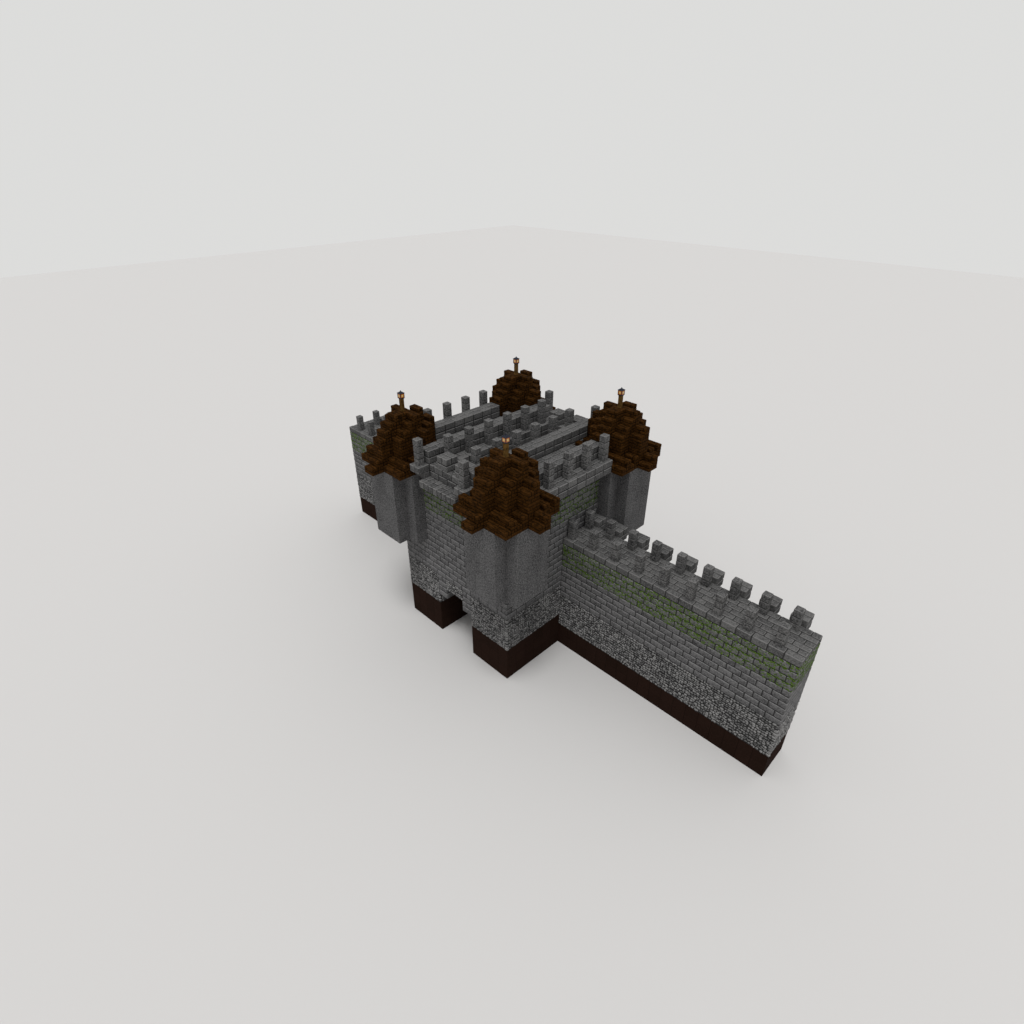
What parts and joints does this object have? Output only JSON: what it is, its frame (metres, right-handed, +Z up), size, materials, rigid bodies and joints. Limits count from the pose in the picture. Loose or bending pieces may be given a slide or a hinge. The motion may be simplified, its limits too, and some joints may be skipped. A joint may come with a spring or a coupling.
{
  "type": "fortified gatehouse with four round towers and curtain walls, half-size model",
  "caption": "Gatehouse of squared stone with a gate passage, round corner towers under stepped timber roofs, lanterns, and a crenellated curtain wall on each side.",
  "frame": {"origin": "on the ground, in the middle of the whole footprint, under the gate passage", "axes": "+X along the curtain walls to the right, seen from the front; +Y through the gate from front to back; +Z up"},
  "size_m": [24, 9.5, 10.29],
  "materials": {
    "foundation_stone": "rough near-black stone",
    "wall_stone": "rough grey stone in courses, mossy near the top",
    "parapet_stone": "rough speckled grey stone",
    "tower_stone": "smooth grey ashlar",
    "roof_timber": "very dark weathered boards",
    "post_timber": "brown weathered post",
    "lantern_iron": "dark blue-grey, worn",
    "lantern_glass": "lit amber glass"
  },
  "bodies": {
    "root": {"back_gate_parapet": "parapet_stone", "back_gate_wall": "wall_stone", "back_left_tower": "tower_stone", "back_left_tower_roof": "roof_timber", "back_right_tower": "tower_stone", "back_right_tower_roof": "roof_timber", "front_gate_parapet": "parapet_stone", "front_gate_wall": "wall_stone", "front_left_tower": "tower_stone", "front_left_tower_roof": "roof_timber", "front_right_tower": "tower_stone", "front_right_tower_roof": "roof_timber", "gate_roof": "parapet_stone", "lamp_posts": "post_timber", "lantern_frames": "lantern_iron", "lantern_panes": "lantern_glass", "left_back_wall": "wall_stone", "left_curtain_base": "foundation_stone", "left_curtain_coping": "parapet_stone", "left_curtain_merlons": "parapet_stone", "left_curtain_posts": "parapet_stone", "left_curtain_wall": "wall_stone", "left_front_wall": "wall_stone", "left_ledge": "parapet_stone", "left_merlons": "parapet_stone", "left_outer_wall": "wall_stone", "left_parapets": "parapet_stone", "left_passage_haunch": "wall_stone", "left_passage_wall": "wall_stone", "left_plinth": "foundation_stone", "left_wing_roof": "parapet_stone", "passage_ceiling": "wall_stone", "right_back_wall": "wall_stone", "right_curtain_base": "foundation_stone", "right_curtain_coping": "parapet_stone", "right_curtain_merlons": "parapet_stone", "right_curtain_posts": "parapet_stone", "right_curtain_wall": "wall_stone", "right_front_wall": "wall_stone", "right_ledge": "parapet_stone", "right_merlons": "parapet_stone", "right_outer_wall": "wall_stone", "right_parapets": "parapet_stone", "right_passage_haunch": "wall_stone", "right_passage_wall": "wall_stone", "right_plinth": "foundation_stone", "right_wing_roof": "parapet_stone"}
  },
  "joints": []
}
